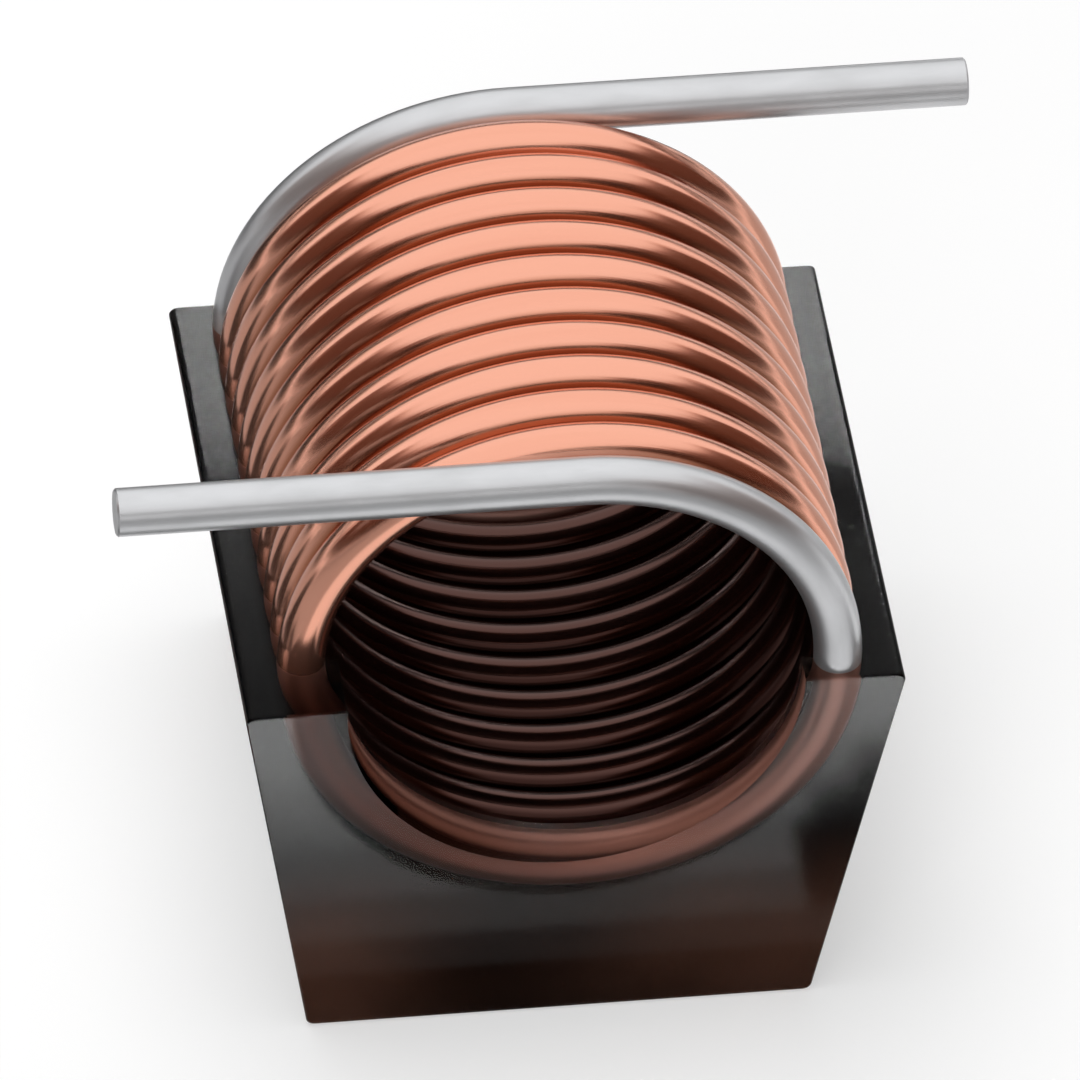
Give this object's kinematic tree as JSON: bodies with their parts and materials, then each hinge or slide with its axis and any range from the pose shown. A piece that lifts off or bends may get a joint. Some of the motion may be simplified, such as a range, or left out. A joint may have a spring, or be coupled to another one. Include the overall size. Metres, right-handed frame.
{
  "type": "air core inductor",
  "caption": "Close-wound coil of round enamelled copper wire, its lower half set in a tapered resin block, with a straight tinned lead at each end.",
  "frame": {"origin": "middle of the flat pick face of the resin block, which is the face it rests on here", "axes": "+Z from the pick face up to the leads, +Y along the coil's axis from the front lead to the rear lead, +X along the rear lead to its tip"},
  "size_m": [0.0154, 0.01, 0.012],
  "materials": {
    "copper_wire": "drawn copper under clear enamel, stripped and tinned on both leads",
    "black_resin": "glossy smoky black moulded resin"
  },
  "bodies": {
    "root": {"winding": "copper_wire", "jacket": "black_resin"}
  },
  "joints": []
}
